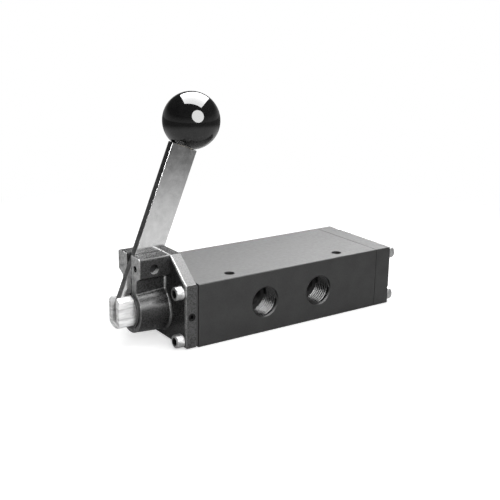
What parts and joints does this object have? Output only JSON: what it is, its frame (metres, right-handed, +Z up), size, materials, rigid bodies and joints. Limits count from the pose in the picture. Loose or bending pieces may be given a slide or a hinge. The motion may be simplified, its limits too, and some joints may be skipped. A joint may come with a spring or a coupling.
{
  "type": "hand lever air valve",
  "caption": "Spool valve with a long block body, threaded ports on both sides, a bolted end cap, and a hand lever with a ball knob that pivots on a cast head and moves the spool.",
  "frame": {"origin": "centre of the body block's underside", "axes": "+X along the spool from the lever to the end cap, +Y from the two outlet ports to the inlet and exhaust ports, +Z up"},
  "size_m": [0.1978, 0.065, 0.1493],
  "materials": {
    "anodised_body": "dark anodised, satin",
    "head_casting": "die cast, black paint, semi-gloss",
    "gasket": "matte",
    "rubber": "matte",
    "zinc_screws": "zinc plated",
    "black_steel": "black oxide",
    "bright_steel": "ground",
    "spool_steel": "ground and polished",
    "clevis_plated": "bright plated, satin",
    "lever_plated": "bright plated",
    "knob_plastic": "black, polished",
    "insert_brass": "turned",
    "bearing": "turned"
  },
  "bodies": {
    "valve": {"cap_spacer": "bearing", "detent_ball": "bright_steel", "detent_screw": "black_steel", "detent_spring": "bright_steel", "end_bumper": "rubber", "end_cap": "anodised_body", "end_cap_gasket": "gasket", "end_cap_screws": "zinc_screws", "head_gasket": "gasket", "head_screws": "zinc_screws", "head_spacer": "bearing", "operator_head": "head_casting", "pivot_pin": "black_steel", "pivot_set_screw": "black_steel", "port_cage_1": "bearing", "port_cage_2": "bearing", "port_cage_3": "bearing", "port_cage_4": "bearing", "port_cage_5": "bearing", "spool_seal_1": "rubber", "spool_seal_2": "rubber", "spool_seal_3": "rubber", "spool_seal_4": "rubber", "spool_seal_5": "rubber", "spool_seal_6": "rubber", "valve_body": "anodised_body", "wiper_ring": "rubber"},
    "lever": {"lever": "lever_plated", "knob": "knob_plastic", "knob_insert": "insert_brass"},
    "spool": {"spool": "spool_steel", "clevis": "clevis_plated", "clevis_pin": "bright_steel"}
  },
  "joints": [
    {"name": "lever_pivot", "type": "hinge", "parent": "valve", "child": "lever", "pos_m": [-0.08945, 0, 0.0476], "axis": [0, -1, 0], "range_deg": [0, 22]},
    {"name": "spool_slide", "type": "slide", "parent": "valve", "child": "spool", "axis": [1, 0, 0], "range_m": [0, 0.01117], "deforming": ["detent_spring", "detent_ball"]}
  ],
  "couplings": [
    {"joint": "spool_slide", "follows": "lever_pivot", "m_per_rad": 0.029042}
  ]
}
